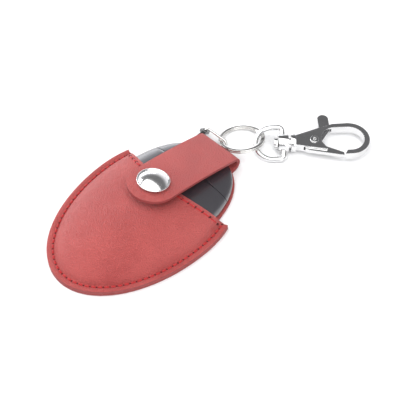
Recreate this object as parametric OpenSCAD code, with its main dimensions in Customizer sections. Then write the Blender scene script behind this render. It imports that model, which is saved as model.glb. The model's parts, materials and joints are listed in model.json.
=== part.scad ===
// Keychain flashlight in a snap-closed leather pouch, with key rings and a swivel snap hook.
// The pouch lies flat on its back, its strap end pointing up and to the right.

/* [Leather pouch] */
// Thickness of the leather
leather_t = 1.2; // [0.8:0.1:1.6]
// Greatest width of the pouch
pouch_w = 55; // [50:0.5:66]
// Length of the rounded half, from the widest place to the tip
pouch_tip_len = 45; // [42:0.5:56]
// Distance from the widest place back to the mouth corners
pouch_mouth_len = 12; // [8:0.5:16]
// Depth of the curve cut into the mouth
mouth_scoop = 6; // [2:0.5:9]
// Distance of the seam from the pouch edge
seam_inset = 2.2; // [1.5:0.1:3]
// Length of one stitch
stitch_len = 2.3; // [1.5:0.1:3.5]
// Angle between the pouch and the line of the hook
pouch_turn = 46.7; // [0:0.1:90]

/* [Strap and snap] */
// Width of the strap
strap_w = 18.6; // [14:0.2:22]
// Steepness of the strap where it leaves the fold
strap_slope = 0.30; // [0.26:0.01:0.36]
// Distance from the fold back to the snap
snap_back = 33.4; // [28:0.2:38]
// Diameter of the snap cap
cap_d = 12; // [10:0.5:15]
// Height of the domed snap cap
cap_h = 3.2; // [2.2:0.1:4]

/* [Flashlight] */
// Width of the flashlight
light_w = 42; // [38:0.5:46]
// Length of the flashlight from its widest place to the ring end
light_front = 33; // [30:0.5:36]
// Length of the flashlight from its widest place to the lens end
light_back = 36; // [30:0.5:38]
// Height of the case above the parting line
light_h = 6.4; // [5.5:0.1:8]
// Thickness of the case wall
case_wall = 1.1; // [0.8:0.1:1.5]
// Distance from the widest place to the seam of the end cap
seam_y = 19; // [14:0.5:24]
// Diameter of a coin cell
cell_d = 16; // [12:0.5:18]
// Thickness of a coin cell
cell_t = 1.6; // [1.2:0.1:2]
// Diameter of the push button
button_d = 9; // [6:0.5:11]
// Travel of the push button
button_travel = 0.5; // [0.3:0.1:0.8]

/* [Rings] */
// Mean radius of the split ring
ring_r = 8.2; // [7.5:0.1:10]
// Radial width of the split ring wire
ring_w = 1.3; // [1:0.1:1.6]
// Thickness of the two coils together
ring_t = 1.4; // [1:0.1:2]
// Lean of the split ring
ring_lean = 14.8; // [14:1:24]
// Wire diameter of the small link
link_wire = 1.0; // [0.8:0.1:1.2]

/* [Swivel hook] */
// How far the hook's centre line lies below the split ring's right side
chain_drop = 0.625; // [0.5:0.005:0.8]
// Wire diameter of the swivel eye
eye_wire = 2.1; // [1.6:0.1:2.4]
// Diameter of the swivel barrel
barrel_d = 7; // [6:0.2:8]
// Length of the swivel barrel
barrel_len = 3.8; // [3:0.1:5]
// Shaft diameter of the swivel stud
stud_d = 2.6; // [2:0.1:3.2]
// Thickness of the hook body
hook_t = 3.2; // [2.8:0.1:5]
// Mean radius of the round end of the hook
hook_r = 6.75; // [6:0.05:8]
// Width of the hook bar
bar_w = 2; // [1.6:0.1:3]
// Diameter of the lever rivet
rivet_d = 2.2; // [1.8:0.1:2.6]
// Thickness of the gate lever
lever_t = 1.5; // [1.2:0.1:2.2]
// Swing of the gate lever
lever_swing = 22; // [15:1:26]

/* [Hidden] */
$fn = 48;

slip = 0.06;                 // radial clearance of a running fit
near_gap = 0.3;              // air between leather and hard parts
front_gap = near_gap + 0.15;
widest_y = 8;                // the widest place of pouch and flashlight, along the pouch
mouth_y = widest_y + pouch_mouth_len;
tip_y = widest_y - pouch_tip_len;
mouth_len = pouch_w * 0.63;  // semi-length of the oval that the mouth end follows
floor_z = leather_t + near_gap;
part_z = floor_z + 1.4;      // parting line of the flashlight case
light_end_y = widest_y + light_front;
light_tip_y = widest_y - light_back;
end_roundness = 2.4;
side_roundness = 2.3;
wall_roundness = 2.6;

ring_up = -75.4;             // direction in which the split ring's raised side lies
eye_side = -15;              // direction from its middle to the swivel eye
link_side = -154;            // direction from its middle to the small link
// Height of the split ring's middle, its low side just clear of the table
ring_z = (ring_r + ring_w / 2) * sin(ring_lean) + ring_t / 2 * cos(ring_lean) + 0.04;
// Height of the ring's centre line over its middle, in a direction from there
function ring_rise(a) = ring_r * sin(ring_lean) * cos(a - ring_up);
chain_z = ring_z + ring_rise(eye_side) - chain_drop;

// Place of the small link beyond the fold, seen along the pouch
link_x0 = -11.4;             // left end of the link's centre line, across the pouch
link_x1 = -0.27;
link_y = 46.6;
link_z = ring_z + ring_rise(link_side) - 0.939;
link_steep = 58.8;
link_half = 1.75;

// Superellipse: height at u for a unit half width, n sets how full it is
function bulge(u, n) = pow(max(0, 1 - pow(abs(u), n)), 1 / n);
function mix(a, b, t) = a + (b - a) * t;
function along(k, count, from, to) = mix(from, to, k / count);

// ---- Leather pouch ----

// Half width of the pouch at a place along it
function pouch_half(y) = pouch_w / 2
    * (y < widest_y ? bulge((widest_y - y) / pouch_tip_len, 2) : bulge((y - widest_y) / mouth_len, 2));
function pouch_edge(inset, steps) = let (half = pouch_w / 2 - inset, tip = pouch_tip_len - inset) concat(
    [for (k = [0:3]) let (y = along(k, 4, mouth_y, widest_y)) [-pouch_half(y) + inset, y]],
    [for (k = [0:steps]) let (a = 180 + 180 * k / steps) [half * cos(a), widest_y + tip * sin(a)]],
    [for (k = [3:-1:0]) let (y = along(k, 4, mouth_y, widest_y)) [pouch_half(y) - inset, y]]);

// The fold: the leather turns up around the flashlight's end and comes back as the strap
fold_top = 5.5;
fold_in = (fold_top - leather_t) / 2;
fold_mid = fold_in + leather_t / 2;
fold_out = fold_in + leather_t;
fold_y = light_end_y - 0.1;
fold_z = fold_out;
fold_angle = 90 - atan(strap_slope);
ply_gap = 0.06;
neck_end = -12;              // where the strap's own outer ply starts on the fold
strap_end = strap_w / 2;
strap_steps = 12;

// Centre line of the strap as distance from the fold to height
strap_start_y = fold_y + fold_mid * cos(fold_angle);
strap_start_z = fold_z + fold_mid * sin(fold_angle);
snap_gap = 0.1;
stud_h = 1.2;
socket_t = 1.5;
snap_y = strap_start_y - snap_back;
snap_seat_z = panel_top(0, snap_y) + stud_h + snap_gap + socket_t + leather_t / 2;
strap_bend = (strap_start_z + strap_slope * snap_back - snap_seat_z) / pow(snap_back, 2);
function strap_z(d) = strap_start_z + strap_slope * d - strap_bend * d * d;
function strap_tilt(d) = atan(strap_slope - 2 * strap_bend * d);
function strap_point(d, off) = [strap_start_y - d + off * sin(strap_tilt(d)), strap_z(d) + off * cos(strap_tilt(d))];
strap_len = snap_back + strap_end;
snap_tilt = strap_tilt(snap_back);
snap_z = strap_z(snap_back);

module in_pouch() { rotate([0, 0, -pouch_turn]) children(); }

// Side profile drawn as [along, up], stretched across the pouch
module across(width, middle = 0) {
    translate([middle - width / 2, 0, 0]) rotate([90, 0, 90]) linear_extrude(width) children();
}

module arc_band(r_in, r_out, from, to) {
    steps = 14;
    polygon(concat(
        [for (k = [0:steps]) let (a = along(k, steps, from, to)) [r_out * cos(a), r_out * sin(a)]],
        [for (k = [steps:-1:0]) let (a = along(k, steps, from, to)) [r_in * cos(a), r_in * sin(a)]]));
}

light_margin = 0.7;          // how far the back panel shows beside the flashlight
module back_outline() {
    polygon(pouch_edge(0, 48));
    intersection() {
        case_outline(light_margin);
        translate([-pouch_w / 2, mouth_y - 1]) square([pouch_w, fold_y - mouth_y]);
    }
    hull() {
        translate([-strap_w * 0.62, fold_y - 6]) square([strap_w * 1.24, 0.1]);
        translate([-strap_w / 2, fold_y - 1]) square([strap_w, 0.1]);
    }
    translate([-strap_w / 2, fold_y - 1]) square([strap_w, 1]);
}

module back_panel() {
    color("firebrick") in_pouch() {
        linear_extrude(leather_t) back_outline();
        across(strap_w) translate([fold_y, fold_z]) arc_band(fold_in, fold_mid - ply_gap / 2, -90, fold_angle - 8);
    }
}

// Cross-section of the strap along its length, both plies beyond the fold's inner one
inner_ply_start = 1.6;
module strap_side() {
    d_end = strap_len + 1;
    polygon(concat(
        [for (k = [0:strap_steps]) strap_point(along(k, strap_steps, 0, d_end), leather_t / 2)],
        [for (k = [strap_steps:-1:0]) strap_point(along(k, strap_steps, inner_ply_start, d_end), -leather_t / 2)],
        [strap_point(inner_ply_start, ply_gap / 2), strap_point(0, ply_gap / 2)]));
    translate([fold_y, fold_z]) arc_band(fold_mid + ply_gap / 2, fold_out, neck_end, fold_angle);
}
module strap_top_outline() {
    square_len = snap_back + fold_out * 2;
    translate([-strap_w / 2, snap_y]) square([strap_w, square_len]);
    translate([0, snap_y]) circle(strap_w / 2);
}
module strap() {
    color("firebrick") in_pouch() difference() {
        intersection() {
            across(strap_w) strap_side();
            linear_extrude(40) strap_top_outline();
        }
        at_snap(-5) cylinder(d = post_d + 2 * slip, h = 10);
    }
}

// ---- Moulded front panel: flat at its sewn edge, arched over the flashlight ----
panel_rows = 30;
panel_cols = 24;
function profile_lean(y) = let (v = (y - 2) / 40) 1 - 0.45 * v - 0.25 * v * v;
function light_u(y, grow) = y < widest_y ? (widest_y - y) / (light_back + grow) : (y - widest_y) / (light_front + grow);
function light_n(y) = y < widest_y ? 2 : end_roundness;
function light_half(y, grow) = (light_w / 2 + grow) * bulge(light_u(y, grow), light_n(y));
function light_top(y, grow) = light_h * profile_lean(y) * bulge(light_u(y, grow), y < widest_y ? 2.6 : 2);
function dome_height(y, grow) = (part_z - leather_t + grow + light_h * profile_lean(y))
    * bulge(light_u(y, grow + 0.4), y < widest_y ? 2.8 : 2.3);
function row_y(k) = mix(tip_y + 0.03, mouth_y, 1 - cos(90 * k / panel_rows));
function row_shift(k, x, half) = -mouth_scoop * pow(k / panel_rows, 6) * (1 - pow(min(1, abs(x) / half), 2));
// Height of the panel over its sewn edge at a place, for the outer face (grow with the leather) or the inner
function panel_rise(x, y, grow, base) = let (w = light_half(y, grow), h = dome_height(y, grow) + leather_t - base)
    abs(x) < w ? max(0, h) * bulge(x / w, wall_roundness) : 0;
function panel_point(k, x, half, grow, base) = let (y = row_y(k) + row_shift(k, x, half)) [x, y, base + panel_rise(x, y, grow, base)];
// One row of the panel, as seen along the pouch, for the inner or the outer face
function panel_row(k, grow, base) =
    let (y = row_y(k), half = pouch_half(y), w = max(0.02, min(half - 0.4, light_half(y, grow))))
    concat([for (side = [-half, -mix(half, w, 0.5)]) panel_point(k, side, half, grow, base)],
        [for (j = [0:panel_cols]) let (c = cos(180 * j / panel_cols))
            panel_point(k, -w * sign(c) * pow(abs(c), 2 / wall_roundness), half, grow, base)],
        [for (side = [mix(half, w, 0.5), half]) panel_point(k, side, half, grow, base)]);

// Closed skin between an outer and an inner grid of points
module skin(outer, inner) {
    rows = len(outer);
    cols = len(outer[0]);
    points = concat([for (r = outer) each r], [for (r = inner) each r]);
    low = rows * cols;
    faces = concat(
        [for (r = [0:rows - 2]) for (c = [0:cols - 2]) let (i = r * cols + c)
            each [[i, i + cols, i + 1], [i + 1, i + cols, i + cols + 1],
                  [low + i, low + i + 1, low + i + cols], [low + i + 1, low + i + cols + 1, low + i + cols]]],
        [for (c = [0:cols - 2]) let (a = c, b = (rows - 1) * cols + c)
            each [[a, a + 1, low + a], [a + 1, low + a + 1, low + a],
                  [b, low + b, b + 1], [b + 1, low + b, low + b + 1]]],
        [for (r = [0:rows - 2]) let (a = r * cols, b = r * cols + cols - 1)
            each [[a, low + a, a + cols], [a + cols, low + a, low + a + cols],
                  [b, b + cols, low + b], [b + cols, low + b + cols, low + b]]]);
    polyhedron(points, faces);
}

module front_panel() {
    color("firebrick") in_pouch() difference() {
        skin([for (k = [0:panel_rows]) panel_row(k, front_gap + leather_t, 2 * leather_t)],
             [for (k = [0:panel_rows]) panel_row(k, front_gap, leather_t)]);
        at_snap(-12) cylinder(d = post_d + 2 * slip, h = 20);
    }
}

// ---- Stitching ----
thread_d = 0.55;
module stitch(from, to, z) {
    reach = norm(to - from) - 0.5;
    turn = atan2(to[1] - from[1], to[0] - from[0]);
    translate([(from[0] + to[0]) / 2, (from[1] + to[1]) / 2, z])
        rotate([0, 0, turn]) rotate([0, 90, 0]) cylinder(d = thread_d, h = reach, center = true, $fn = 16);
}
seam_points = pouch_edge(seam_inset, 46);
module edge_stitching() {
    stitch_z = 2 * leather_t + thread_d / 2 + 0.05;
    color("darkred") in_pouch() for (k = [0:len(seam_points) - 2])
        stitch(seam_points[k], seam_points[k + 1], stitch_z);
}
hem_inset = 1.8;
hem_rows = 14;
function hem_x(k) = along(k, hem_rows, -light_w * 0.45, light_w * 0.45);
function panel_top(x, y) = 2 * leather_t + panel_rise(x, y, front_gap + leather_t, 2 * leather_t);
function hem_point(k) = let (x = hem_x(k), y = mouth_y - mouth_scoop * (1 - pow(x / pouch_half(mouth_y), 2)) - hem_inset)
    [x, y, panel_top(x, y) + thread_d / 2 + 0.15];
module mouth_stitching() {
    color("darkred") in_pouch() for (k = [0:hem_rows - 1]) if (abs(hem_x(k + 0.5)) > cap_d * 0.45) {
        a = hem_point(k);
        b = hem_point(k + 1);
        d = b - a;
        translate((a + b) / 2) rotate([0, 0, atan2(d[1], d[0])])
            rotate([0, 90 - atan2(d[2], norm([d[0], d[1]])), 0])
            cylinder(d = thread_d, h = norm(d) - 0.6, center = true, $fn = 16);
    }
}

// ---- Snap fastener, square to the strap where it sits ----
post_d = 3.4;
module at_snap(up) {
    translate([0, snap_y, snap_z]) rotate([-snap_tilt, 0, 0]) translate([0, 0, up]) children();
}
snap_top = leather_t / 2;
cap_skirt = 1.4;             // height of the cap's side below its dome
dome_h = cap_h - cap_skirt;
cap_ball = (cap_d * cap_d / 4 + dome_h * dome_h) / (2 * dome_h);
module snap_cap() {
    color("silver") in_pouch() at_snap(snap_top) {
        cylinder(d1 = cap_d * 0.86, d2 = cap_d, h = cap_skirt);
        intersection() {
            translate([0, 0, cap_h - cap_ball]) sphere(cap_ball, $fn = 96);
            translate([0, 0, cap_skirt]) cylinder(d = cap_d, h = dome_h + 1);
        }
        translate([0, 0, -leather_t]) cylinder(d = post_d, h = leather_t);
    }
}
module snap_socket() {
    color("silver") in_pouch() at_snap(-snap_top - socket_t) difference() {
        cylinder(d = cap_d * 0.72, h = socket_t);
        translate([0, 0, -1]) cylinder(d = post_d + 2 * slip, h = socket_t + 2);
    }
}
stud_drop = snap_top + socket_t + snap_gap;
stud_sink = 0.25;            // how far the stud presses into the leather
post_len = stud_h + stud_sink + leather_t - 0.25;
module snap_stud() {
    color("silver") in_pouch() at_snap(-stud_drop - stud_h - stud_sink) {
        cylinder(d = cap_d * 0.6, h = stud_h + stud_sink);
        cylinder(d = post_d - 0.8, h = stud_h + stud_sink + 0.6);
    }
}
module snap_post() {
    color("silver") in_pouch() at_snap(-stud_drop - post_len)
        cylinder(d = post_d, h = post_len - stud_h - stud_sink);
}

// ---- Flashlight ----
shell_rows = 22;
shell_cols = 20;
end_trim = 0.15;             // the case ends this far inside its outline, on a small flat
// One row over the case, its two feet drop apart below the parting line
function case_row(y, grow, feet) = let (w = light_half(y, grow), h = max(0.05, light_top(y, grow) + grow))
    [for (j = [0:shell_cols]) let (a = 180 * j / shell_cols, c = cos(a), s = sin(a),
        x = -w * sign(c) * pow(abs(c), 2 / side_roundness), z = h * pow(abs(s), 2 / side_roundness))
        [x, y, part_z + z - (j == 0 || j == shell_cols ? feet : 0)]];
// Arch over the parting line between two places along the case
module arch(grow, y0, y1, feet = 0) {
    grid = [for (k = [0:shell_rows]) case_row(mix(y0, y1, (1 - cos(180 * k / shell_rows)) / 2), grow, feet)];
    rows = len(grid);
    cols = len(grid[0]);
    points = [for (r = grid) each r];
    faces = concat(
        [for (r = [0:rows - 2]) for (c = [0:cols - 2]) let (i = r * cols + c)
            each [[i, i + cols, i + 1], [i + 1, i + cols, i + cols + 1]]],
        [for (r = [0:rows - 2]) let (a = r * cols, b = a + cols - 1)
            each [[a, b, b + cols], [a, b + cols, a + cols]]],
        [[for (c = [0:cols - 1]) c]],
        [[for (c = [cols - 1:-1:0]) (rows - 1) * cols + c]]);
    polyhedron(points, faces);
}
function case_edge(grow, steps) = let (y0 = light_tip_y - grow + end_trim, y1 = light_end_y + grow - end_trim) concat(
    [for (k = [0:steps]) let (y = mix(y0, y1, (1 - cos(180 * k / steps)) / 2)) [light_half(y, grow), y]],
    [for (k = [steps:-1:0]) let (y = mix(y0, y1, (1 - cos(180 * k / steps)) / 2)) [-light_half(y, grow), y]]);
module case_outline(grow) { polygon(case_edge(grow, 28)); }

split_y = widest_y + seam_y;
groove_w = 0.3;
floor_t = 0.7;
lens_z = part_z + 0.6;
lens_d = 3.4;
led_d = 2.4;
lens_y = light_tip_y + 1.4;
button_y = widest_y - 16;
board_z = floor_z + floor_t + 0.15;
board_t = 0.8;
board_w = 18.8;
board_y0 = light_tip_y + 9;
cells_y = widest_y + 5;
board_y1 = cells_y - cell_d / 2 - 0.4;
screw_d = 1.6;
screw_len = 4.2;
screw_spots = [[-16.4, widest_y - 2], [16.4, widest_y - 2], [-11.5, light_tip_y + 13], [11.5, light_tip_y + 13]];
lug_w = 1.8;
lug_x = -(strap_w / 2 + near_gap + 0.1 + lug_w / 2);
lug_t = 1.3;
lug_z = part_z - 0.6;
lug_root_y = light_end_y - 8;
lug_end_y = link_y - 1.1;

module lens_hole() {
    translate([0, light_tip_y - 2, lens_z]) rotate([-90, 0, 0]) cylinder(d = lens_d + 2 * slip, h = 2 + 1.1 + 6);
}
module lug_slot() {
    translate([lug_x - lug_w / 2, lug_root_y, lug_z]) cube([lug_w, lug_end_y - lug_root_y, lug_t]);
}
module lower_shell() {
    color("dimgray") in_pouch() difference() {
        union() {
            translate([0, 0, floor_z + 0.4]) linear_extrude(part_z - floor_z - 0.4) case_outline(0);
            translate([0, 0, floor_z]) linear_extrude(0.5) case_outline(-0.4);
        }
        difference() {
            translate([0, 0, floor_z + floor_t]) linear_extrude(part_z) case_outline(-case_wall);
            for (p = screw_spots) translate([p[0], p[1], 0]) cylinder(d = screw_d + 2, h = part_z);
            translate([lug_x - 2, lug_root_y - 1, 0]) cube([4, light_end_y - lug_root_y, part_z]);
        }
        for (p = screw_spots) translate([p[0], p[1], 0]) {
            cylinder(d = screw_d + 2 * slip, h = part_z + 1);
            cylinder(d = 2.8, h = floor_z + 0.5);
        }
        lens_hole();
        lug_slot();
    }
}
module upper_shell() {
    color("dimgray") in_pouch() difference() {
        arch(0, light_tip_y + end_trim, split_y - groove_w / 2);
        difference() {
            arch(-case_wall, light_tip_y + case_wall + end_trim, split_y + 1, 1);
            for (p = screw_spots) translate([p[0], p[1], 0]) cylinder(d = screw_d + 2, h = 20);
        }
        for (p = screw_spots) translate([p[0], p[1], 0]) cylinder(d = screw_d, h = screw_len + floor_z + 0.3);
        translate([0, button_y, part_z]) cylinder(d = button_d + 2 * slip, h = 20);
        lens_hole();
    }
}
tongue_gap = 0.08;
module end_cap() {
    color("dimgray") in_pouch() difference() {
        union() {
            arch(0, split_y + groove_w / 2, light_end_y - end_trim);
            arch(-case_wall - tongue_gap, split_y - 1.6, split_y + 1);
        }
        arch(-2 * case_wall, split_y - 3, split_y + 4, 1);
        lug_slot();
    }
}
module case_screws() {
    color("silver") in_pouch() for (p = screw_spots) translate([p[0], p[1], floor_z + 0.05]) {
        cylinder(d = screw_d, h = screw_len);
        cylinder(d = 2.6, h = 0.4);
    }
}
button_top = part_z + light_top(button_y + button_d / 2, 0) - 0.15;
switch_h = 2.2;
switch_top = board_z + board_t + switch_h;
module button() {
    rim_z = part_z + (light_top(button_y, 0) - case_wall) * 0.86 - 0.9;
    color("black") in_pouch() translate([0, button_y, 0]) {
        translate([0, 0, rim_z]) cylinder(d = button_d, h = button_top - rim_z);
        translate([0, 0, rim_z - 0.6]) cylinder(d = button_d + 1.6, h = 0.6);
        translate([0, 0, switch_top + button_travel + 0.1]) cylinder(d = 2.4, h = rim_z - switch_top - button_travel - 0.1);
    }
}
module circuit_board() {
    color("green") in_pouch() translate([-board_w / 2, board_y0, board_z]) cube([board_w, board_y1 - board_y0, board_t]);
}
module tact_switch() {
    color("silver") in_pouch() translate([0, button_y, board_z + board_t]) {
        translate([-3, -3, 0]) cube([6, 6, switch_h - 0.6]);
        cylinder(d = 3, h = switch_h);
    }
}
module coin_cells() {
    color("lightgray") in_pouch() for (k = [0, 1])
        translate([0, cells_y, board_z + k * (cell_t + 0.02)]) cylinder(d = cell_d, h = cell_t);
}
clip_z = board_z + 2 * cell_t + 0.06;
clip_t = 0.3;
module battery_clip() {
    color("goldenrod") in_pouch() {
        translate([-2.5, board_y1 - 1.2, clip_z]) cube([5, cell_d * 0.8, clip_t]);
        translate([-2.5, board_y1 - 1.2, board_z + board_t]) cube([5, clip_t, clip_z - board_z - board_t + clip_t]);
    }
}
reflector_len = 3;
module lens() {
    color("lightcyan") in_pouch() translate([0, lens_y, lens_z]) rotate([-90, 0, 0]) cylinder(d = lens_d, h = 1);
}
module reflector() {
    color("silver") in_pouch() translate([0, lens_y + 1.02, lens_z]) rotate([-90, 0, 0]) difference() {
        cylinder(d = lens_d, h = reflector_len);
        translate([0, 0, -0.01]) cylinder(d1 = lens_d - 0.5, d2 = led_d - 0.6, h = 1.6);
        translate([0, 0, 1]) cylinder(d = led_d + 2 * slip, h = reflector_len);
    }
}
module led() {
    color("white") in_pouch() translate([0, lens_y + 2.3, lens_z]) rotate([-90, 0, 0]) {
        cylinder(d = led_d, h = 3.2);
        for (x = [-1.27 / 2, 1.27 / 2]) translate([x, 0, 3]) cylinder(d = 0.5, h = board_y0 - lens_y - 4.6);
    }
}
block_t = 1.2;
module ring_lug() {
    color("dimgray") in_pouch() {
        lug_slot();
        difference() {
            at_link() translate([link_x0, 0, 0]) rotate([-90, 0, 0]) translate([-1.4, -1.4, -block_t / 2]) cube([2.8, 2.8, block_t]);
            at_link() translate([link_x0, 0, 0]) rotate([-90, 0, 0]) cylinder(d = link_wire + 0.6, h = 6, center = true);
        }
    }
}

// ---- Small link and split ring ----
module at_link() { translate([0, link_y, link_z]) rotate([link_steep, 0, 0]) children(); }
module half_link() {
    rotate([0, 0, 90]) rotate_extrude(angle = 180) translate([link_half, 0]) circle(d = link_wire, $fn = 24);
}
module small_link() {
    color("silver") in_pouch() at_link() {
        translate([link_x0 + link_half, 0, 0]) half_link();
        translate([link_x1 - link_half, 0, 0]) rotate([0, 0, 180]) half_link();
        for (side = [-1, 1]) translate([link_x0 + link_half, side * link_half, 0]) rotate([0, 90, 0])
            cylinder(d = link_wire, h = link_x1 - link_x0 - 2 * link_half, $fn = 24);
    }
}
// A larger ring moves away from the fold, its left side stays in the small link
ring_x = 31.8 + ring_r;
ring_y = 31.95 + 0.4 * ring_r;
module at_ring() { translate([ring_x, ring_y, ring_z]) rotate([0, 0, ring_up]) rotate([0, -ring_lean, 0]) children(); }
module split_ring() {
    notch = 0.16;
    color("silver") at_ring() rotate_extrude($fn = 96) translate([ring_r, 0]) polygon([
        [-ring_w / 2, -ring_t / 2], [ring_w / 2, -ring_t / 2], [ring_w / 2, -notch / 2],
        [ring_w / 2 - notch, 0], [ring_w / 2, notch / 2], [ring_w / 2, ring_t / 2],
        [-ring_w / 2, ring_t / 2], [-ring_w / 2, notch / 2], [notch - ring_w / 2, 0], [-ring_w / 2, -notch / 2]]);
}

// ---- Swivel eye and hook, along X at the chain's height ----
chain_y = ring_y - 3.33;
eye_x = ring_x + ring_r - 3.2;   // left end of the eye's centre line, inside the ring
eye_half = 6.44;
eye_lean = 20.8;
barrel_x = eye_x + 8.6;
corner_r = 1.6;
module at_chain() { translate([0, chain_y, chain_z]) children(); }
module along_x(x, len, d) { translate([x, 0, 0]) rotate([0, 90, 0]) cylinder(d = d, h = len); }
module swivel_eye() {
    bar_x = barrel_x + barrel_len / 2;
    color("silver") at_chain() difference() {
        union() {
            rotate([eye_lean, 0, 0]) {
                translate([eye_x + eye_half, 0, 0]) rotate([0, 0, 90]) rotate_extrude(angle = 180)
                    translate([eye_half, 0]) circle(d = eye_wire, $fn = 32);
                for (side = [-1, 1]) {
                    translate([0, side * eye_half, 0])
                        along_x(eye_x + eye_half, bar_x - corner_r - eye_x - eye_half, eye_wire);
                    translate([bar_x - corner_r, side * (eye_half - corner_r), 0]) rotate([0, 0, side > 0 ? 0 : -90])
                        rotate_extrude(angle = 90) translate([corner_r, 0]) circle(d = eye_wire, $fn = 32);
                }
                translate([bar_x, corner_r - eye_half, 0]) rotate([-90, 0, 0])
                    cylinder(d = eye_wire, h = 2 * (eye_half - corner_r), $fn = 32);
            }
            along_x(barrel_x, barrel_len, barrel_d);
        }
        along_x(barrel_x - 2, barrel_len + 6, stud_d + 2 * slip);
    }
}
stud_head_d = 4.4;
stud_head_t = 1.6;
end_play = 0.12;
flange_x = barrel_x + barrel_len + 0.9;
flange_t = 1.8;
module swivel_stud() {
    color("silver") at_chain() {
        along_x(barrel_x - end_play - stud_head_t, stud_head_t, stud_head_d);
        along_x(barrel_x - end_play - 0.1, flange_x - barrel_x + 3.2, stud_d);
    }
}
body_x = flange_x + flange_t;
rivet_x = body_x + 7.3;
loop_x = body_x + 20.6;      // centre of the round end
hole_x = loop_x - 4.9;
nose_x = loop_x - 2.6;
slot_t = lever_t + 0.3;
gate_y = -hook_r;
gate_gap = 0.15;
gate_reach = norm([nose_x - gate_gap - rivet_x, gate_y - bar_w / 2 + 0.1]);
module hook_loop_2d() {
    r_out = hook_r + bar_w / 2;
    r_in = hook_r - bar_w / 2;
    difference() {
        union() {
            translate([loop_x, 0]) circle(r_out);
            polygon([[loop_x, r_out], [loop_x - 5.5, r_out - 0.2], [body_x + 8.4, 5.4], [body_x - 0.1, 2.3],
                [body_x - 0.1, -2.3], [body_x + 11.6, -4.9], [hole_x, 0], [loop_x, -1]]);
            translate([nose_x, -r_out]) square([loop_x - nose_x, bar_w]);
        }
        translate([loop_x, 0]) circle(r_in);
        translate([hole_x, 0]) circle(r_in);
        translate([hole_x, -r_in]) square([loop_x - hole_x, 2 * r_in]);
        translate([body_x + 11.6, -20]) square([nose_x - body_x - 11.6, 20 - r_in + 1]);
        intersection() {
            translate([rivet_x, 0]) circle(gate_reach + gate_gap, $fn = 96);
            translate([nose_x - 1, -r_out - 1]) square([5, bar_w + 2]);
        }
    }
}
module hook_body() {
    color("silver") at_chain() difference() {
        union() {
            translate([0, 0, -hook_t / 2]) linear_extrude(hook_t) hook_loop_2d();
            along_x(flange_x, flange_t, barrel_d);
            along_x(barrel_x + barrel_len + end_play, flange_x - barrel_x - barrel_len, 4.2);
        }
        along_x(barrel_x, body_x - barrel_x + 0.6, stud_d + 0.04);
        translate([rivet_x, 0, -10]) cylinder(d = rivet_d + 0.04, h = 20);
        translate([body_x + 3, -20, -slot_t / 2]) cube([11.6, 40, slot_t]);
    }
}
tab_w = 4.2;
tab_end = 13.2;
module lever_2d() {
    boss = 2.6;
    translate([rivet_x, 0]) circle(boss);
    hull() {
        translate([rivet_x, 0]) circle(boss);
        translate([rivet_x + 4.6, 6]) circle(tab_w / 2);
    }
    translate([rivet_x + 2.5, 6]) square([tab_w, tab_end - 6 - tab_w / 2]);
    translate([rivet_x + 4.6, tab_end - tab_w / 2]) circle(tab_w / 2);
    polygon([[rivet_x - 3.8, -2.2], [rivet_x - 3.8, -4.3], [nose_x - gate_gap, gate_y - bar_w / 2 + 0.1],
        [nose_x - gate_gap, gate_y + bar_w / 2 - 0.4], [rivet_x + 4.2, -2.9], [rivet_x + 2.2, 1]]);
}
module gate_lever() {
    color("silver") at_chain() difference() {
        translate([0, 0, -lever_t / 2]) linear_extrude(lever_t) lever_2d();
        translate([rivet_x, 0, -5]) cylinder(d = rivet_d + 2 * slip, h = 10);
        translate([rivet_x, 0, 0.1]) cylinder(d = rivet_d + 1.4, h = 5);
    }
}
module gate_rivet() {
    color("silver") at_chain() translate([rivet_x, 0, 0]) difference() {
        union() {
            translate([0, 0, -hook_t / 2 - 0.25]) cylinder(d = rivet_d, h = hook_t + 0.5);
            for (side = [-1, 1]) translate([0, 0, side * (hook_t / 2 + 0.15) - 0.15]) cylinder(d = rivet_d + 1, h = 0.3);
        }
        translate([0, 0, hook_t / 2 - 1]) cylinder(d = rivet_d - 0.9, h = 3);
    }
}
spring_wire = 0.25;
spring_turns = 2;
spring_r = rivet_d / 2 + 0.25;
spring_steps = 16;
function spring_ring(k) = let (a = 360 * k / spring_steps, z = 0.24 + 0.255 * k / spring_steps)
    [for (j = [0:5]) let (r = spring_r + spring_wire / 2 * cos(60 * j), h = z + spring_wire / 2 * sin(60 * j))
        [r * cos(a), r * sin(a), h]];
module gate_spring() {
    count = spring_turns * spring_steps;
    points = [for (k = [0:count]) each spring_ring(k)];
    faces = concat([[for (j = [0:5]) j]], [[for (j = [5:-1:0]) 6 * count + j]],
        [for (k = [0:count - 1]) for (j = [0:5]) let (a = 6 * k + j, b = 6 * k + (j + 1) % 6)
            each [[a, a + 6, b], [b, a + 6, b + 6]]]);
    color("gray") at_chain() translate([rivet_x, 0, 0]) polyhedron(points, faces);
}

back_panel();
front_panel();
strap();
edge_stitching();
mouth_stitching();
snap_cap();
snap_socket();
snap_stud();
snap_post();
lower_shell();
upper_shell();
end_cap();
button();
tact_switch();
circuit_board();
coin_cells();
battery_clip();
led();
reflector();
lens();
case_screws();
ring_lug();
small_link();
split_ring();
swivel_eye();
swivel_stud();
hook_body();
gate_lever();
gate_rivet();
gate_spring();
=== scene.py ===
import json
import math
import random

import bpy
from mathutils import Matrix, Vector


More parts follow.
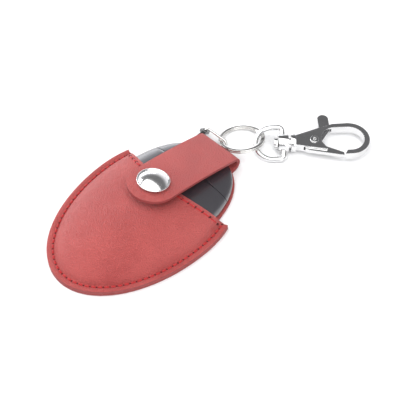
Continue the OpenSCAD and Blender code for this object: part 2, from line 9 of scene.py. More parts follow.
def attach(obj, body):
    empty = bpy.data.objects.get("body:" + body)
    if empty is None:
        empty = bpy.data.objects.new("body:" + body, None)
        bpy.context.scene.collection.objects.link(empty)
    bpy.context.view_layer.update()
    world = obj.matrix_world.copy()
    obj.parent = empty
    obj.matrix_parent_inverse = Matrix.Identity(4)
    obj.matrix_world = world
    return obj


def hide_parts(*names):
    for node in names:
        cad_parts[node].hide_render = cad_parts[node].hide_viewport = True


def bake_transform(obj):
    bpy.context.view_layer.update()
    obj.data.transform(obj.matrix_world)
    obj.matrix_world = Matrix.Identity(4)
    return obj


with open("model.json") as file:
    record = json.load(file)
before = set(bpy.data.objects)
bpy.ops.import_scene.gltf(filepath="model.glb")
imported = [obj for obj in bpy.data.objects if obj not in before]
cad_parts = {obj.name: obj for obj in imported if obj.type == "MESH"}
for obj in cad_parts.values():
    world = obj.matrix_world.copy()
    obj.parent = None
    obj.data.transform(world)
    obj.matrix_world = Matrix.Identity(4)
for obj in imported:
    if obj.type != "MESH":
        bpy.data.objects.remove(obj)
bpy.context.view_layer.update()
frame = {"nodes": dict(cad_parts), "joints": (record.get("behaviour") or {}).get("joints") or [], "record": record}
nodes = frame["nodes"]
joints = {j["name"]: j for j in frame["joints"]}
random.seed(7)
print("frame loaded,", len(nodes), "CAD nodes")

# the pouch's own directions: across it, and along it from the tip to the fold
acrossPouch = -Vector(joints["strap_fold"]["axis"]).normalized()
alongPouch = Vector((-acrossPouch.y, acrossPouch.x, 0))
foldSpot = Vector(joints["strap_fold"]["pos_m"])


def mix(a, b, share):
    return a + (b - a) * share


def inPouch(x, y, z):
    return acrossPouch * x + alongPouch * y + Vector((0, 0, z))


def span(node, direction):
    reach = [v.co.dot(direction) for v in nodes[node].data.vertices]
    return min(reach), max(reach)


def clearSelection():
    if bpy.context.object and bpy.context.object.mode != "OBJECT":
        bpy.ops.object.mode_set(mode="OBJECT")
    bpy.ops.object.select_all(action="DESELECT")


def select(*objs):
    clearSelection()
    for obj in objs:
        obj.select_set(True)
    bpy.context.view_layer.objects.active = objs[-1]


def applyAll(obj):
    select(obj)
    for modifier in list(obj.modifiers):
        bpy.ops.object.modifier_apply(modifier=modifier.name)


def smooth(obj, angle=40):
    select(obj)
    bpy.ops.object.shade_smooth_by_angle(angle=math.radians(angle))


def bevelEdges(obj, width, segments=3, angle=35):
    bevel = obj.modifiers.new("softEdge", "BEVEL")
    bevel.width, bevel.segments = width, segments
    bevel.limit_method, bevel.angle_limit = "ANGLE", math.radians(angle)
    bevel.harden_normals = False
    applyAll(obj)


def finishPiece(obj, body, replaced, slot, *materials):
    select(obj)
    bpy.ops.object.transform_apply(location=True, rotation=True, scale=True)
    if materials:
        obj.data.materials.clear()
        for material in materials:
            obj.data.materials.append(material)
    if body:
        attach(obj, body)
    if replaced:
        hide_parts(*replaced)
    return obj


# ---- shader maths ----
class Value:
    # a socket that can be written in plain expressions
    def __init__(self, shader, socket):
        self.shader, self.socket = shader, socket

    def math(self, operation, a, b=0.0):
        return self.shader.node("ShaderNodeMath", {"operation": operation}, {0: a, 1: b})

    def __add__(self, other):
        return self.math("ADD", self, other)

    def __sub__(self, other):
        return self.math("SUBTRACT", self, other)

    def __mul__(self, other):
        return self.math("MULTIPLY", self, other)

    def __rsub__(self, other):
        return self.math("SUBTRACT", other, self)

    __radd__ = __add__
    __rmul__ = __mul__


class Shader:
    def __init__(self, name):
        self.material = bpy.data.materials.new(name)
        self.material.use_nodes = True
        self.tree = self.material.node_tree
        self.tree.nodes.clear()
        self.surface = self.tree.nodes.new("ShaderNodeBsdfPrincipled")
        out = self.tree.nodes.new("ShaderNodeOutputMaterial")
        self.tree.links.new(self.surface.outputs[0], out.inputs[0])
        self.place = self.node("ShaderNodeTexCoord", outlet="Object")

    def feed(self, socket, value):
        if isinstance(value, Value):
            self.tree.links.new(value.socket, socket)
        else:
            socket.default_value = value

    def node(self, kind, settings=None, sockets=None, outlet=0):
        made = self.tree.nodes.new(kind)
        for key, value in (settings or {}).items():
            if key == "stops":
                ramp = made.color_ramp
                while len(ramp.elements) < len(value):
                    ramp.elements.new(0.5)
                for element, (spot, shade) in zip(ramp.elements, value):
                    element.position = spot
                    element.color = (shade, shade, shade, 1) if isinstance(shade, float) else (*shade, 1)
            else:
                setattr(made, key, value)
        for key, value in (sockets or {}).items():
            self.feed(made.inputs[key], value)
        return Value(self, made.outputs[outlet])

    def noise(self, scale, detail=3.0, roughness=0.5, spot=None):
        return self.node("ShaderNodeTexNoise", None, {"Vector": spot or self.place, "Scale": scale,
                                                      "Detail": detail, "Roughness": roughness})

    def ramp(self, factor, *stops):
        return self.node("ShaderNodeValToRGB", {"stops": stops}, {0: factor})

    def mixColour(self, factor, first, second):
        rgba = [c if isinstance(c, Value) else (*c, 1) for c in (first, second)]
        return self.node("ShaderNodeMix", {"data_type": "RGBA"}, {0: factor, 6: rgba[0], 7: rgba[1]}, 2)

    def bump(self, height, distance, strength=1.0, under=None):
        sockets = {"Height": height, "Distance": distance, "Strength": strength}
        if under:
            sockets["Normal"] = under
        return self.node("ShaderNodeBump", None, sockets)

    def finish(self, **values):
        for key, value in values.items():
            socket = self.surface.inputs[key.replace("_", " ")]
            if isinstance(value, tuple):
                value = (*value, 1)
            self.feed(socket, value)
        return self.material


leatherLook = {
    "red": (0.56, 0.098, 0.090),
    "deepRed": (0.46, 0.066, 0.062),
    "edgeRed": (0.25, 0.038, 0.037),
    "pores": 2100.0,
    "grainDepth": 0.00060,
}


def leather(name, tone=1.0):
    s = Shader(name)
    red = tuple(c * tone for c in leatherLook["red"])
    deep = tuple(c * tone for c in leatherLook["deepRed"])
    wobble = s.node("ShaderNodeVectorMath", {"operation": "MULTIPLY_ADD"},
                    {0: s.node("ShaderNodeTexNoise", None, {"Vector": s.place, "Scale": 420.0}, "Color"),
                     1: (0.0006, 0.0006, 0.0006), 2: s.place})
    cells = s.node("ShaderNodeTexVoronoi", {"feature": "SMOOTH_F1"},
                   {"Vector": wobble, "Scale": leatherLook["pores"], "Smoothness": 0.35})
    creases = s.node("ShaderNodeTexVoronoi", {"feature": "DISTANCE_TO_EDGE"},
                     {"Vector": wobble, "Scale": leatherLook["pores"] * 0.8})
    folds = s.ramp(creases, (0.0, 0.0), (0.16, 1.0))
    cloudy = s.noise(70.0, 4.0)
    fine = s.noise(3800.0, 2.0)
    pits = s.ramp(cells, (0.1, 1.0), (0.75, 0.35))
    colour = s.mixColour(s.ramp(cloudy, (0.3, 0.0), (0.7, 1.0)), deep, red)
    # painted shade: the grain's crease lines are darkened in the colour, as shade in the valleys
    colour = s.mixColour((1.0 - folds) * 0.32, colour, tuple(c * 0.62 for c in deep))
    height = cells * -0.55 + folds * 0.45 + fine * 0.12
    rough = s.ramp(cloudy + (1.0 - pits) * 0.3, (0.3, 0.40), (0.9, 0.56))
    return s.finish(Base_Color=colour, Roughness=rough, Specular_IOR_Level=0.42, Sheen_Weight=0.12,
                    Sheen_Roughness=0.45, Normal=s.bump(height, leatherLook["grainDepth"], 0.75))


def leatherEdge():
    s = Shader("leatherCutEdge")
    fibres = s.noise(2600.0, 4.0, 0.7)
    layer = s.noise(300.0, 2.0)
    colour = s.mixColour(s.ramp(fibres, (0.35, 0.0), (0.7, 1.0)), leatherLook["edgeRed"],
                         tuple(c * 1.25 for c in leatherLook["edgeRed"]))
    return s.finish(Base_Color=colour, Roughness=s.ramp(layer, (0.3, 0.55), (0.7, 0.72)),
                    Normal=s.bump(fibres, 0.00008, 0.7))


def threadLook():
    s = Shader("waxedThread")
    twist = s.node("ShaderNodeTexWave", {"bands_direction": "DIAGONAL"},
                   {"Vector": s.place, "Scale": 900.0, "Distortion": 1.2})
    colour = s.mixColour(s.ramp(twist, (0.2, 0.0), (0.8, 1.0)), (0.36, 0.008, 0.010), (0.54, 0.018, 0.020))
    return s.finish(Base_Color=colour, Roughness=0.6, Sheen_Weight=0.2, Normal=s.bump(twist, 0.00005, 0.8))


def plated(name, tone, rough, wear=0.05, tint=(1.0, 1.0, 1.0)):
    s = Shader(name)
    haze = s.noise(160.0, 5.0, 0.6)
    scuffs = s.noise(1400.0, 2.0)
    colour = s.mixColour(s.ramp(haze, (0.35, 0.0), (0.7, 1.0)), tuple(tone * t for t in tint),
                         tuple(tone * 0.9 * t for t in tint))
    roughness = s.ramp(haze + scuffs * 0.25, (0.35, rough), (0.9, rough + wear))
    return s.finish(Base_Color=colour, Metallic=1.0, Roughness=roughness,
                    Normal=s.bump(haze, 0.00004, 0.25))


def plastic(name, colour, rough, grain=2200.0, depth=0.00002, coat=0.0, shine=1.5):
    s = Shader(name)
    texture = s.noise(grain, 3.0)
    cloud = s.noise(90.0, 3.0)
    shade = s.mixColour(s.ramp(cloud, (0.3, 0.0), (0.7, 1.0)), colour, tuple(c * 0.85 for c in colour))
    return s.finish(Base_Color=shade, Roughness=s.ramp(cloud, (0.3, rough), (0.8, rough + 0.08)),
                    Coat_Weight=coat, Coat_Roughness=0.26, Coat_IOR=shine,
                    Normal=s.bump(texture, depth, 0.5))


def clearPlastic(name, colour, through):
    s = Shader(name)
    haze = s.noise(500.0, 2.0)
    return s.finish(Base_Color=colour, Roughness=s.ramp(haze, (0.3, 0.04), (0.8, 0.1)),
                    Transmission_Weight=through, IOR=1.49)


looks = {
    "red_leather": leather("redLeather"),
    "red_thread": threadLook(),
    # painted shade: a near-black material for the needle-hole pits, in place of the shadow inside each hole
    "needle_hole_shade": plastic("needleHole", (0.08, 0.004, 0.005), 0.8),
    "snap_metal": plated("snapChrome", 0.90, 0.17, 0.04),
    "case_plastic": plastic("casePlastic", (0.036, 0.033, 0.041), 0.34, coat=1.0, shine=2.0),
    "button_rubber": plastic("buttonRubber", (0.03, 0.03, 0.032), 0.65),
    "switch_body": plated("switchTin", 0.6, 0.32, 0.08),
    "board": plastic("boardGreen", (0.02, 0.16, 0.05), 0.3, 900.0),
    "cell_steel": plated("cellSteel", 0.68, 0.25, 0.1),
    "spring_brass": plated("clipBrass", 0.8, 0.25, 0.1, (1.0, 0.82, 0.5)),
    "led_resin": clearPlastic("ledResin", (0.9, 0.93, 0.97), 0.6),
    "reflector_chrome": plated("reflectorChrome", 0.9, 0.05),
    "clear_lens": clearPlastic("clearLens", (0.97, 0.98, 1.0), 0.95),
    "screw_steel": plated("screwSteel", 0.5, 0.3, 0.1),
    "lug_metal": plated("lugMetal", 0.24, 0.22, 0.08),
    "ring_nickel": plated("ringNickel", 0.74, 0.09, 0.05, (1.0, 0.99, 0.96)),
    "hook_nickel": plated("hookNickel", 0.80, 0.06, 0.04),
    "spring_steel": plated("springSteel", 0.5, 0.25, 0.08),
}
cutEdge = leatherEdge()
slotOf = {part["node"]: part["material_slot"] for part in frame["record"]["subparts"]}
for nodeName, node in nodes.items():
    node.data.materials.clear()
    node.data.materials.append(looks[slotOf[nodeName]])
print("materials made")

# ---- leather pouch ----
leftEdge, rightEdge = span("front_panel", acrossPouch)
tipSpot, mouthSpot = span("front_panel", alongPouch)
pouch = {
    "widest": 0.008,          # where the pouch is widest, along it
    "thickness": 0.0012,
    "mouthReach": 0.63,       # how far the mouth end's oval would reach, per pouch width
    "scoop": 0.006,
    "rise": 0.00875,          # height of the dome over the sewn edge
    "foot": 0.0030,           # where the dome starts, from the edge
    "seamInset": 0.0022,
    "hemInset": 0.0018,
    "stitchPitch": 0.0023,
    "seamDip": 0.00042,       # depth of the groove that the stitches pull, and its half width
    "seamPull": 0.0008,
    "leanFrom": 0.002,        # the dome sinks toward the mouth, over this length, by these two shares
    "leanLength": 0.040,
    "leanShares": (0.45, 0.25),
    "acrossCells": 110,
    "alongCells": 130,
}
halfWidth = (rightEdge - leftEdge) / 2
tipLength = pouch["widest"] - tipSpot
mouthOval = halfWidth * 2 * pouch["mouthReach"]


def outlineHalf(y, inset=0.0):
    reach = tipLength - inset if y < pouch["widest"] else mouthOval
    share = abs(y - pouch["widest"]) / reach
    return (halfWidth - inset) * math.sqrt(max(0.0, 1 - share * share))


def edgeDistance(x, y):
    reach = tipLength if y < pouch["widest"] else mouthOval
    dy = y - pouch["widest"]
    ring = math.hypot(x / halfWidth, dy / reach)
    steep = math.hypot(x / halfWidth ** 2, dy / reach ** 2)
    return halfWidth if steep < 1e-6 else (1 - ring) * ring / steep


def lean(y):
    share = (y - pouch["leanFrom"]) / pouch["leanLength"]
    first, second = pouch["leanShares"]
    return 1 - first * share - second * share * share


# outer face of the front leather, over the pouch's flat sewn edge
def leatherTop(x, y):
    dy = y - pouch["widest"]
    if dy < 0:
        ring = math.hypot(x / (halfWidth - pouch["foot"]), dy / (tipLength - pouch["foot"]))
        fullness = 0.72
    else:
        ring = abs(x) / (outlineHalf(y) - pouch["foot"])
        fullness = mix(0.72, 0.58, dy / (mouthSpot - pouch["widest"]))
    dome = max(0.0, 1 - ring ** 2.7) ** fullness
    top = 2 * pouch["thickness"] + pouch["rise"] * lean(y) * dome
    pull = math.exp(-((edgeDistance(x, y) - pouch["seamInset"]) / pouch["seamPull"]) ** 2)
    return top - pouch["seamDip"] * pull


def gridSheet(name, across, along, shape):
    # a flat grid of leather, each point then moved to its place
    clearSelection()
    bpy.ops.mesh.primitive_grid_add(x_subdivisions=across, y_subdivisions=along, size=2)
    obj = bpy.context.object
    obj.name = name
    for v in obj.data.vertices:
        v.co = shape(v.co.x, (v.co.y + 1) / 2)
    return obj


def frontShape(u, share):
    y = mix(tipSpot + 0.00003, mouthSpot, 1 - math.cos(share * math.pi / 2))
    half = outlineHalf(y)
    x = math.sin(u * math.pi / 2) * half * 0.35 + u * half * 0.65
    y -= pouch["scoop"] * share ** 6 * (1 - (x / half) ** 2)
    return inPouch(x, y, leatherTop(x, y))


def thicken(obj, depth, upper=0.00035, segments=3):
    # the leather's thickness, its cut edge in a slot of its own
    obj.data.materials.clear()
    obj.data.materials.append(looks["red_leather"])
    obj.data.materials.append(cutEdge)
    wall = obj.modifiers.new("thickness", "SOLIDIFY")
    wall.thickness, wall.offset, wall.use_even_offset = depth, -1, False
    wall.material_offset_rim = 1
    applyAll(obj)
    bevelEdges(obj, upper, segments, 50)


frontLeather = gridSheet("frontLeather", pouch["acrossCells"], pouch["alongCells"], frontShape)
softening = frontLeather.modifiers.new("softening", "SMOOTH")
softening.factor, softening.iterations = 0.5, 2
applyAll(frontLeather)
thicken(frontLeather, pouch["thickness"] * 0.98)
smooth(frontLeather, 60)
finishPiece(frontLeather, "pouch", ["front_panel"], "red_leather")
print("front leather", len(frontLeather.data.polygons))


def cadCopy(name, source):
    # a copy of a CAD node's mesh with its corners joined again
    clearSelection()
    copy = bpy.data.objects.new(name, nodes[source].data.copy())
    bpy.context.scene.collection.objects.link(copy)
    select(copy)
    bpy.ops.object.mode_set(mode="EDIT")
    bpy.ops.mesh.select_all(action="SELECT")
    bpy.ops.mesh.remove_doubles(threshold=0.000002)
    bpy.ops.mesh.customdata_custom_splitnormals_clear()
    bpy.ops.mesh.dissolve_limited(angle_limit=math.radians(0.5))
    bpy.ops.object.mode_set(mode="OBJECT")
    return copy


# back leather: the flat outline of the CAD panel, without the ply that turns up at the fold
foldLap = 0.0009
backEnd = foldSpot.dot(alongPouch) - foldLap


def edgeFaces(obj, limit=0.3):
    for face in obj.data.polygons:
        face.material_index = 1 if abs(face.normal.z) < limit else 0


backLeather = cadCopy("backLeather", "back_panel")
bpy.ops.object.mode_set(mode="EDIT")
bpy.ops.mesh.select_all(action="SELECT")
bpy.ops.mesh.bisect(plane_co=alongPouch * backEnd, plane_no=alongPouch, clear_outer=True, use_fill=True)
bpy.ops.object.mode_set(mode="OBJECT")
bevelEdges(backLeather, 0.00030, 3, 40)
finishPiece(backLeather, "pouch", ["back_panel"], "red_leather", looks["red_leather"], cutEdge)
edgeFaces(backLeather)
smooth(backLeather, 40)
print("back leather", len(backLeather.data.polygons))

# ---- strap, in one piece with the back where it folds up round the flashlight's end ----
strapLeft, strapRight = span("strap", acrossPouch)
strap = {
    "half": (strapRight - strapLeft) / 2,
    "outer": foldSpot.z,      # the fold's outer radius is its height over the table
    "slope": 0.30,
    "snapBack": 0.0334,       # from where the strap leaves the fold to the snap
    "socketHalf": 0.00075,
    "tipReach": 0.999,        # the round end stops just short, so that no row shrinks to a point
    "tipWidth": 0.03,
    "rimDrop": 0.00012,
    "cells": 22,
    "lengthCells": 150,
}
foldMiddle = strap["outer"] - pouch["thickness"] / 2
foldAngle = math.pi / 2 - math.atan(strap["slope"])
foldAlong = foldSpot.dot(alongPouch)
strapStart = (foldAlong + foldMiddle * math.cos(foldAngle), foldSpot.z + foldMiddle * math.sin(foldAngle))
capPoints = [v.co for v in nodes["snap_socket"].data.vertices]
socketMiddle = sum((p.z for p in capPoints), 0.0) / len(capPoints)
snapAlong = strapStart[0] - strap["snapBack"]
snapHeight = socketMiddle + strap["socketHalf"] + pouch["thickness"] / 2
strapBend = (strapStart[1] + strap["slope"] * strap["snapBack"] - snapHeight) / strap["snapBack"] ** 2
strapLength = strap["snapBack"] + strap["half"]
snapTilt = math.atan(strap["slope"] - 2 * strapBend * strap["snapBack"])
snapPlace = Matrix.Translation(inPouch(0, snapAlong, snapHeight)) @ Matrix(
    (acrossPouch, alongPouch, (0, 0, 1))).transposed().to_4x4() @ Matrix.Rotation(-snapTilt, 4, "X")
underLength = foldAlong - backEnd
foldLength = foldMiddle * (foldAngle + math.pi / 2)


def strapLine(d):
    # place and direction of the strap's middle, at a distance along it from the back panel
    if d < underLength:
        return backEnd + d, pouch["thickness"] / 2, 0.0
    if d < underLength + foldLength:
        a = (d - underLength) / foldMiddle - math.pi / 2
        return foldAlong + foldMiddle * math.cos(a), foldSpot.z + foldMiddle * math.sin(a), a + math.pi / 2
    d -= underLength + foldLength
    tilt = math.atan(strap["slope"] - 2 * strapBend * d)
    return strapStart[0] - d, strapStart[1] + strap["slope"] * d - strapBend * d * d, math.pi - tilt


def strapShape(u, share):
    whole = underLength + foldLength + strapLength
    squareEnd = whole - strap["half"]
    d = share * whole
    half = strap["half"]
    if d > squareEnd:
        turn = (d - squareEnd) / strap["half"] * math.pi / 2
        d = squareEnd + strap["half"] * math.sin(turn) * strap["tipReach"]
        half = strap["half"] * max(strap["tipWidth"], math.cos(turn))
    y, z, tilt = strapLine(d)
    x = u * half
    # the leather's outer side faces away from the fold's middle
    up = Vector((0, -math.sin(tilt), math.cos(tilt)))
    rim = (abs(x) / strap["half"]) ** 6 if d > underLength else 0.0
    away = pouch["thickness"] / 2 - strap["rimDrop"] * rim
    return inPouch(x, y, z) - (alongPouch * up.y + Vector((0, 0, up.z))) * away


strapLeather = gridSheet("strapLeather", strap["cells"], strap["lengthCells"], strapShape)
select(strapLeather)
bpy.ops.object.mode_set(mode="EDIT")
bpy.ops.mesh.select_all(action="SELECT")
bpy.ops.mesh.normals_make_consistent(inside=False)
bpy.ops.object.mode_set(mode="OBJECT")
topFace = max(strapLeather.data.polygons, key=lambda f: f.center.z)
if topFace.normal.z < 0:
    bpy.ops.object.mode_set(mode="EDIT")
    bpy.ops.mesh.flip_normals()
    bpy.ops.object.mode_set(mode="OBJECT")
thicken(strapLeather, pouch["thickness"], 0.00028)
smooth(strapLeather, 60)
finishPiece(strapLeather, None, ["strap"], "red_leather")
tuple(inPouch(0, foldAlong, 0.0012))
tuple(inPouch(0, foldAlong, 0.0055))
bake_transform(strapLeather)
print("strap", len(strapLeather.data.polygons))

# ---- stitching ----
thread = {
    "thick": 0.00086,
    "share": 0.80,            # a stitch's length, per distance between needle holes
    "dive": 0.0002,           # how far a stitch's ends bend down into their holes
    "seamLift": 0.00012,
    "hemLift": 0.00010,
    "hemCount": 17,
    "hemEnd": 0.0004,         # the hem's last hole stands this far inside the seam
    "seamHole": 0.00038,
    "hemHole": 0.00064,
    "holeLift": 0.00010,
}


def oneStitch(long):
    clearSelection()
    bpy.ops.mesh.primitive_uv_sphere_add(segments=10, ring_count=6, radius=thread["thick"] / 2)
    obj = bpy.context.object
    bpy.ops.object.mode_set(mode="EDIT")
    bpy.ops.transform.rotate(value=math.pi / 2, orient_axis="Y", center_override=(0, 0, 0))
    bpy.ops.object.mode_set(mode="OBJECT")
    for v in obj.data.vertices:
        end = math.copysign(long / 2 - thread["thick"] / 2, v.co.x) if abs(v.co.x) > 1e-6 else 0.0
        v.co.x += end
        v.co.z -= thread["dive"] * (v.co.x / (long / 2)) ** 4
    return obj


def sew(name, points, replaced, lift):
    # one stitch is modelled, then copied along the seam
    pitch = (points[1] - points[0]).length
    model = oneStitch(pitch * thread["share"])
    stitches = []
    for a, b in zip(points, points[1:]):
        if (b - a).length > 1.6 * pitch:
            continue
        copy = bpy.data.objects.new(name, model.data.copy())
        bpy.context.scene.collection.objects.link(copy)
        heading = (b - a).normalized()
        side = Vector((0, 0, 1)).cross(heading).normalized()
        turn = Matrix((heading, side, heading.cross(side))).transposed().to_4x4()
        wander = Matrix.Rotation(math.radians(random.uniform(-5, 5)), 4, "Z")
        middle = (a + b) / 2 + Vector((0, 0, lift))
        copy.matrix_world = Matrix.Translation(middle) @ turn @ wander
        stitches.append(copy)
    select(model)
    bpy.ops.object.delete()
    select(*stitches)
    bpy.ops.object.join()
    row = bpy.context.object
    row.name = name
    finishPiece(row, "pouch", replaced, "red_thread", looks["red_thread"])
    smooth(row, 80)


def seamLine():
    # the seam's line, cut into equal stitches
    fine = []
    inset = pouch["seamInset"]
    mouth = [mix(mouthSpot - 0.0012, pouch["widest"], k / 40) for k in range(40)]
    fine += [(-outlineHalf(y) + inset, y) for y in mouth]
    fine += [((halfWidth - inset) * math.cos(a), pouch["widest"] + (tipLength - inset) * math.sin(a))
             for a in [math.pi + math.pi * k / 400 for k in range(401)]]
    fine += [(outlineHalf(y) - inset, y) for y in reversed(mouth)]
    lengths = [0.0]
    for a, b in zip(fine, fine[1:]):
        lengths.append(lengths[-1] + math.dist(a, b))
    count = round(lengths[-1] / pouch["stitchPitch"])
    points = []
    k = 0
    for n in range(count + 1):
        want = lengths[-1] * n / count
        while k < len(fine) - 2 and lengths[k + 1] < want:
            k += 1
        part = (want - lengths[k]) / (lengths[k + 1] - lengths[k])
        x, y = mix(fine[k][0], fine[k + 1][0], part), mix(fine[k][1], fine[k + 1][1], part)
        points.append(inPouch(x, y, leatherTop(x, y)))
    return points


def hemLine():
    points = []
    mouthHalf = outlineHalf(mouthSpot)
    for k in range(thread["hemCount"] + 1):
        x = mix(-1, 1, k / thread["hemCount"]) * (mouthHalf - pouch["seamInset"] - thread["hemEnd"])
        y = mouthSpot - pouch["scoop"] * (1 - (x / mouthHalf) ** 2) - pouch["hemInset"]
        points.append(inPouch(x, y, leatherTop(x, y)))
    return points


def needleHoles(name, points, size):
    # a small dark pit at each end of a stitch, its near-black colour painted shade standing in for the shadow
    # inside the needle hole
    clearSelection()
    bpy.ops.mesh.primitive_uv_sphere_add(segments=8, ring_count=5, radius=size)
    pit = bpy.context.object
    bpy.ops.object.mode_set(mode="EDIT")
    bpy.ops.transform.resize(value=(1.0, 0.8, 0.35), center_override=(0, 0, 0))
    bpy.ops.object.mode_set(mode="OBJECT")
    pits = []
    for spot in points:
        copy = bpy.data.objects.new(name, pit.data.copy())
        bpy.context.scene.collection.objects.link(copy)
        copy.location = spot + Vector((0, 0, thread["holeLift"]))
        pits.append(copy)
    select(pit)
    bpy.ops.object.delete()
    select(*pits)
    bpy.ops.object.join()
    row = bpy.context.object
    row.name = name
    smooth(finishPiece(row, "pouch", [], "red_thread", looks["needle_hole_shade"]), 80)


sew("edgeThread", seamLine(), ["edge_stitching"], thread["seamLift"])
sew("mouthThread", hemLine(), ["mouth_stitching"], thread["hemLift"])
needleHoles("seamHoles", seamLine(), thread["seamHole"])
needleHoles("hemHoles", hemLine(), thread["hemHole"])
print("stitching done")

# ---- snap cap ----
cap = {
    "skirt": 0.0014,
    "bead": 0.00030,
    "dome": 0.0018,
    "foot": 0.86,             # width at the leather, per greatest width
    "bedded": 0.00004,
    "steps": 96,
    "arcSteps": 14,
}
capLow, capHigh = span("snap_cap", acrossPouch)
capRadius = (capHigh - capLow) / 2


def lathe(name, profile, steps, matrix):
    # a ring of points is moved to the profile and spun about its own axis
    clearSelection()
    bpy.ops.mesh.primitive_circle_add(vertices=len(profile), radius=1, fill_type="NOTHING")
    obj = bpy.context.object
    obj.name = name
    for v, (r, z) in zip(obj.data.vertices, profile):
        v.co = (r, 0, z)
    bpy.ops.object.mode_set(mode="EDIT")
    bpy.ops.mesh.select_all(action="SELECT")
    bpy.ops.mesh.spin(steps=steps, angle=2 * math.pi, center=(0, 0, 0), axis=(0, 0, 1))
    bpy.ops.mesh.select_all(action="SELECT")
    bpy.ops.mesh.remove_doubles(threshold=0.000001)
    bpy.ops.mesh.select_all(action="SELECT")
    bpy.ops.mesh.normals_make_consistent(inside=False)
    bpy.ops.object.mode_set(mode="OBJECT")
    obj.data.transform(matrix)
    obj.data.update()
    return obj


def capProfile():
    r, bead, skirt = capRadius, cap["bead"], cap["skirt"]
    inner = r - 2 * bead
    ball = (inner * inner + cap["dome"] ** 2) / (2 * cap["dome"])
    reach = math.asin(inner / ball)
    angles = [reach * k / cap["arcSteps"] for k in range(cap["arcSteps"] + 1)]
    dome = [(ball * math.sin(a), skirt + cap["dome"] - ball + ball * math.cos(a)) for a in angles]
    roll = [(r - bead + bead * math.cos(a), skirt + bead * math.sin(a))
            for a in [math.pi * 0.9 - math.pi * 1.3 * k / 10 for k in range(11)]]
    return dome + roll + [(r * cap["foot"], 0.0), (0.0, 0.0)]


capPiece = lathe("snapCap", capProfile(), cap["steps"],
                 snapPlace @ Matrix.Translation((0, 0, pouch["thickness"] / 2 - cap["bedded"])))
finishPiece(capPiece, "strap", ["snap_cap"], "snap_metal", looks["snap_metal"])
smooth(capPiece, 50)
print("snap cap done")

# ---- metal and plastic: each CAD shape with softened edges ----
dressing = {
    # piece: CAD node, body, edge width, smoothing angle
    "caseEnd": ("end_cap", "pouch", 0.00022, 35),
    "caseTop": ("upper_shell", "pouch", 0.00022, 35),
    "caseFloor": ("lower_shell", "pouch", 0.00018, 35),
    "ringLug": ("ring_lug", "pouch", 0.00022, 40),
    "wireLink": ("small_link", "small_link", 0.0, 60),
    "swivelEye": ("swivel_eye", "swivel_eye", 0.00025, 45),
    "swivelPin": ("swivel_stud", "hook", 0.00025, 45),
    "hookBody": ("hook_body", "hook", 0.00072, 35),
    "gateLever": ("gate_lever", "gate", 0.00040, 35),
    "gateRivet": ("gate_rivet", "hook", 0.00012, 40),
    "snapSocket": ("snap_socket", "strap", 0.00015, 40),
    "snapStud": ("snap_stud", "pouch", 0.00015, 40),
    "buttonCap": ("button", "button", 0.0003, 40),
    "frontLens": ("lens", "pouch", 0.0002, 40),
}
for name, (source, body, width, angle) in dressing.items():
    piece = cadCopy(name, source)
    if width:
        bevelEdges(piece, width, 2 if source in ("end_cap", "upper_shell", "lower_shell") else 3, angle)
    finishPiece(piece, body, [source], slotOf[source], looks[slotOf[source]])
    smooth(piece, angle + 15)
print("metal and plastic dressed")

# ---- split ring: one flat wire wound twice ----
ring = {
    "turns": 2,
    "steps": 160,
    "gap": 0.00006,
    "corner": 0.00018,
    "crossing": 0.07,         # half the share of a turn in which the wire steps up
    "spread": 0.010,          # the coils are wound this far apart and then pressed flat
}
ringPoints = [v.co.copy() for v in nodes["split_ring"].data.vertices]
ringMiddle = sum(ringPoints, Vector()) / len(ringPoints)
far = max(ringPoints, key=lambda p: (p - ringMiddle).length)
ringOuter = (far - ringMiddle).length


def planeNormal(points, middle):
    # the direction in which the ring is thinnest, found by turning a trial direction to the least spread
    best = Vector((0, 0, 1))
    step = 0.5
    while step > 0.0002:
        moves = [Vector((a * step, b * step, 0)) for a in (-1, 0, 1) for b in (-1, 0, 1)]
        trials = [best] + [(best + move).normalized() for move in moves]
        spread = [sum(((p - middle).dot(t)) ** 2 for p in points) for t in trials]
        found = trials[spread.index(min(spread))]
        if (found - best).length < 1e-9:
            step /= 2
        best = found
    return best


ringUp = planeNormal(ringPoints[::3], ringMiddle)
ringThick = max((p - ringMiddle).dot(ringUp) for p in ringPoints) * 2
ringInner = min((p - ringMiddle - ringUp * (p - ringMiddle).dot(ringUp)).length for p in ringPoints)
ringSide = Vector((1, 0, 0)) - ringUp * ringUp.x
ringSide.normalize()
ringTurn = Matrix((ringSide, ringUp.cross(ringSide), ringUp)).transposed().to_4x4()
ringFrame = Matrix.Translation(ringMiddle) @ ringTurn


def ringPiece():
    wide = ringOuter - ringInner
    coil = ringThick / 2 - ring["gap"] / 2
    clearSelection()
    bpy.ops.mesh.primitive_plane_add(size=1)
    obj = bpy.context.object
    obj.name = "splitRing"
    for v in obj.data.vertices:
        v.co = ((ringInner + wide / 2) + v.co.x * wide, 0, v.co.y * coil)
    bpy.ops.object.mode_set(mode="EDIT")
    bpy.ops.mesh.select_all(action="SELECT")
    bpy.ops.mesh.bevel(offset=ring["corner"], segments=3, affect="VERTICES")
    bpy.ops.object.mode_set(mode="OBJECT")
    wind = obj.modifiers.new("wind", "SCREW")
    wind.axis, wind.angle, wind.iterations = "Z", 2 * math.pi, ring["turns"]
    wind.screw_offset = ring["spread"]
    wind.steps = wind.render_steps = ring["steps"]
    applyAll(obj)
    bpy.ops.object.mode_set(mode="EDIT")
    bpy.ops.mesh.select_all(action="SELECT")
    bpy.ops.mesh.fill_holes(sides=0)
    bpy.ops.mesh.normals_make_consistent(inside=False)
    bpy.ops.object.mode_set(mode="OBJECT")
    # the wire stays flat for most of a turn and steps up at the crossing
    rise = ringThick / 2 + ring["gap"] / 2
    for v in obj.data.vertices:
        share = math.atan2(v.co.y, v.co.x) / (2 * math.pi)
        turn = share + round(v.co.z / ring["spread"] - share)
        step = min(1.0, max(0.0, (turn - 1 + ring["crossing"]) / (2 * ring["crossing"])))
        v.co.z += mix(-rise, rise, step) / 2 - turn * ring["spread"]
    obj.data.transform(ringFrame)
    return obj


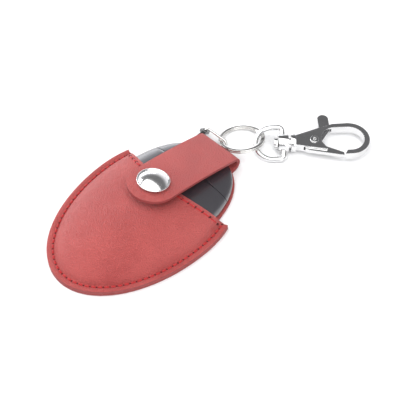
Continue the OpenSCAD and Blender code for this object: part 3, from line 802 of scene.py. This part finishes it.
splitRing = ringPiece()
finishPiece(splitRing, "split_ring", ["split_ring"], "ring_nickel", looks["ring_nickel"])
smooth(splitRing, 45)
print("split ring done")

# ---- stage, light and camera ----
studio = {"floor": (0.93, 0.93, 0.935), "sky": ((0.12, 1.02), (0.48, 0.17))}


def stageFloor():
    clearSelection()
    bpy.ops.mesh.primitive_plane_add(size=1.6, location=(0, 0, -0.0001))
    obj = bpy.context.object
    obj.name = "floor"
    s = Shader("paleFloor")
    soft = s.noise(3.0, 2.0)
    colour = s.mixColour(soft, studio["floor"], tuple(c * 0.995 for c in studio["floor"]))
    obj.data.materials.append(s.finish(Base_Color=colour, Roughness=0.9, Specular_IOR_Level=0.1))


def areaLight(name, spot, size, power, colour=(1, 1, 1), sizeY=None, aim=(0.02, 0.005, 0)):
    clearSelection()
    bpy.ops.object.light_add(type="AREA", location=spot)
    light = bpy.context.object
    light.name = name
    light.data.shape = "RECTANGLE"
    light.data.size, light.data.size_y = size, sizeY or size
    light.data.energy = power
    light.data.color = colour
    light.rotation_mode = "QUATERNION"
    light.rotation_quaternion = (Vector(aim) - Vector(spot)).to_track_quat("-Z", "Y")
    return light


stageFloor()
world = bpy.data.worlds.new("softRoom")
bpy.context.scene.world = world
world.use_nodes = True
sky = world.node_tree
skyPlace = sky.nodes.new("ShaderNodeTexCoord")
skyHeight = sky.nodes.new("ShaderNodeSeparateXYZ")
skyRamp = sky.nodes.new("ShaderNodeValToRGB")
sky.links.new(skyPlace.outputs["Generated"], skyHeight.inputs[0])
sky.links.new(skyHeight.outputs["Z"], skyRamp.inputs[0])
sky.links.new(skyRamp.outputs[0], sky.nodes["Background"].inputs[0])
for element, (height, tone) in zip(skyRamp.color_ramp.elements, studio["sky"]):
    element.position = height
    element.color = (tone, tone, tone * 1.03, 1)
areaLight("overheadSoftbox", (-0.10, -0.14, 0.82), 1.5, 12.6, sizeY=1.1)
areaLight("leftSoftbox", (-0.60, 0.42, 0.30), 0.45, 2.6, (0.97, 0.98, 1.0))
areaLight("frontFill", (0.45, -0.75, 0.40), 0.5, 1.6)
areaLight("backStrip", (-0.25, 0.85, 0.10), 0.9, 1.4, (0.93, 0.95, 1.0), sizeY=0.25)
bpy.context.scene.view_settings.view_transform = "Standard"

view = {"lens": 85.0, "sensor": 36.0, "distance": 0.3466, "elevation": 51.9, "azimuth": -2.7,
        "aim": (0.0228, 0.0086, 0.0)}
clearSelection()
bpy.ops.object.camera_add()
camera = bpy.context.object
camera.data.lens, camera.data.sensor_width = view["lens"], view["sensor"]
az, el = math.radians(view["azimuth"]), math.radians(view["elevation"])
back = Vector((math.sin(az) * math.cos(el), -math.cos(az) * math.cos(el), math.sin(el)))
camera.location = Vector(view["aim"]) + back * view["distance"]
camera.rotation_mode = "QUATERNION"
camera.rotation_quaternion = (-back).to_track_quat("-Z", "Y")
camera.data.clip_start, camera.data.clip_end = 0.01, 20
bpy.context.scene.camera = camera
print("stage, lights and camera set")
